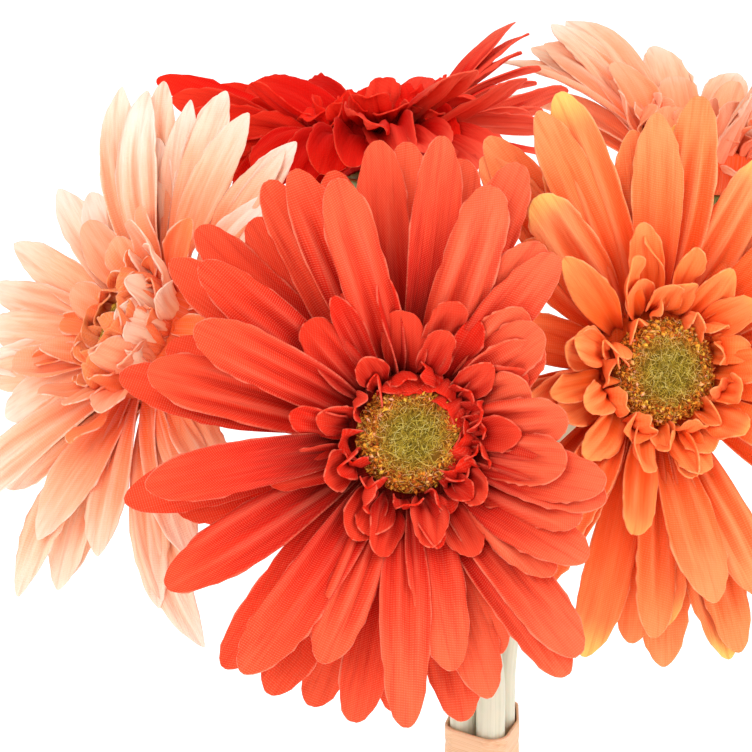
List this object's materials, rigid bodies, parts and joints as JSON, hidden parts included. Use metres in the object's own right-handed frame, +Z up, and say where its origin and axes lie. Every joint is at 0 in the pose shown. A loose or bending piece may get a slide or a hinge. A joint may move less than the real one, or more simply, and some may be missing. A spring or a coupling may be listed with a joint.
{
  "type": "vase of artificial gerberas",
  "caption": "Bunch of fabric gerberas with layered petals and fuzzy centres, tied at the stems with raffia, standing in a plain narrow-necked ceramic vase.",
  "frame": {"origin": "centre of the vase's foot, on the surface it stands on", "axes": "+Z up; the front of the bunch faces -Y and +X is to its right as seen from there"},
  "size_m": [0.218, 0.1756, 0.3295],
  "materials": {
    "coral_petals": "thin woven polyester, printed, matt",
    "orange_petals": "thin woven polyester, printed, matt",
    "peach_petals": "thin woven polyester, printed, matt",
    "red_petals": "thin woven polyester, printed, matt",
    "salmon_petals": "thin woven polyester, printed, matt",
    "disc": "fuzzy flock and fibre",
    "calyx": "soft moulded plastic",
    "stem": "soft plastic over wire, satin",
    "tie": "flat paper raffia, matt",
    "vase": "plain satin glaze"
  },
  "bodies": {
    "root": {"coral_petals": "coral_petals", "coral_disc": "disc", "coral_calyx": "calyx", "coral_stem": "stem", "orange_petals": "orange_petals", "orange_disc": "disc", "orange_calyx": "calyx", "orange_stem": "stem", "peach_petals": "peach_petals", "peach_disc": "disc", "peach_calyx": "calyx", "peach_stem": "stem", "red_petals": "red_petals", "red_disc": "disc", "red_calyx": "calyx", "red_stem": "stem", "salmon_petals": "salmon_petals", "salmon_disc": "disc", "salmon_calyx": "calyx", "salmon_stem": "stem", "raffia_tie": "tie", "vase": "vase"}
  },
  "joints": []
}
